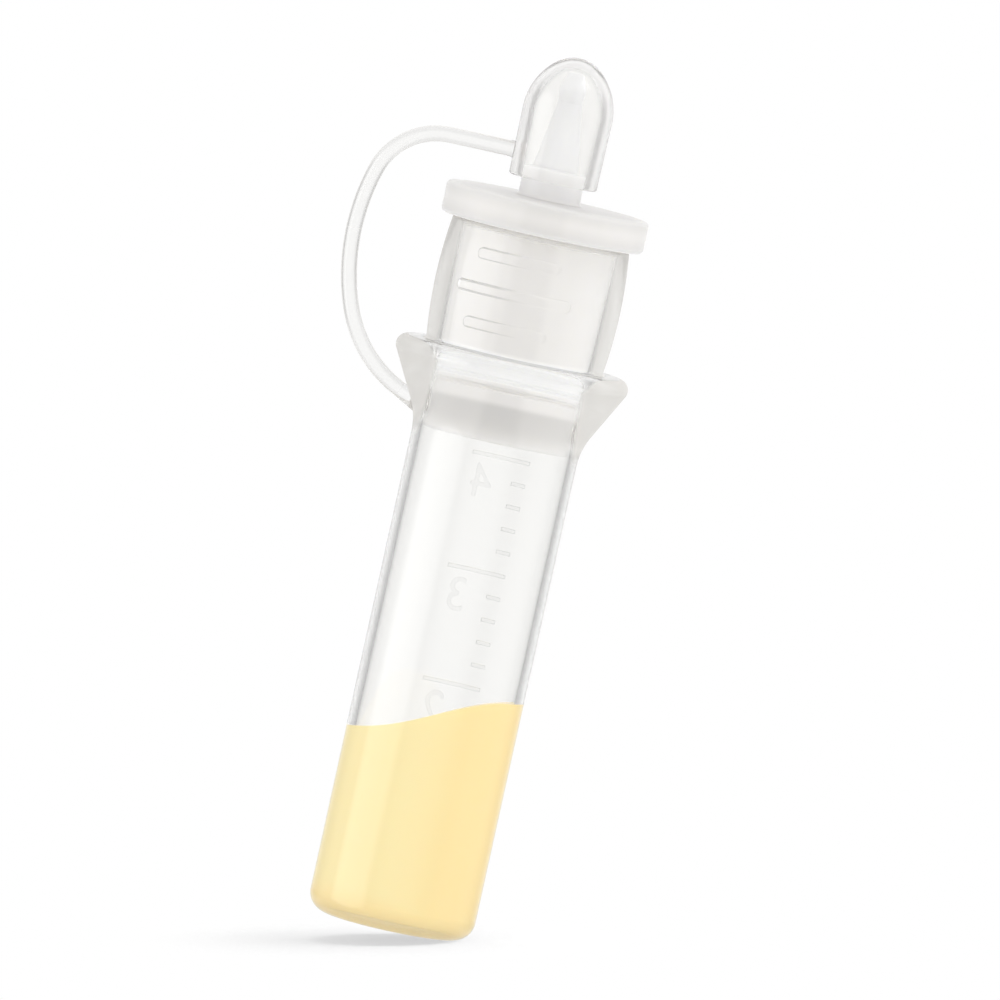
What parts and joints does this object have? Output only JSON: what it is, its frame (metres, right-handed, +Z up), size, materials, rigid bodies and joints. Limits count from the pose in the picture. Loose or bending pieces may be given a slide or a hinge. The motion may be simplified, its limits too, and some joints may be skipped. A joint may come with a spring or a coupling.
{
  "type": "oral syringe",
  "caption": "Soft clear silicone oral syringe: squeezable barrel with collar and ribbed neck, milky stopper with feeding spout, dome cap on a strap, part filled.",
  "frame": {"origin": "centre of the barrel's flat base", "axes": "+Z up the barrel to the spout; the strap loops out towards -X; the grip ribs face -Y and the scale is on the far wall at +Y"},
  "size_m": [0.0242, 0.0184, 0.0694],
  "materials": {
    "clear_silicone": "clear moulded silicone, glossy",
    "milky_silicone": "milky translucent moulded silicone, satin",
    "dose": "opaque pale yellow liquid"
  },
  "bodies": {
    "barrel": {"container": "clear_silicone", "dose": "dose", "tether": "clear_silicone"},
    "stopper": {"stopper": "milky_silicone"},
    "cap": {"cap": "clear_silicone"}
  },
  "joints": [
    {"name": "stopper_pull", "type": "slide", "parent": "barrel", "child": "stopper", "axis": [0, 0, 1], "range_m": [0, 0.018], "deforming": ["tether"]},
    {"name": "cap_pull", "type": "slide", "parent": "stopper", "child": "cap", "axis": [0, 0, 1], "range_m": [0, 0.01], "deforming": ["tether"]}
  ]
}
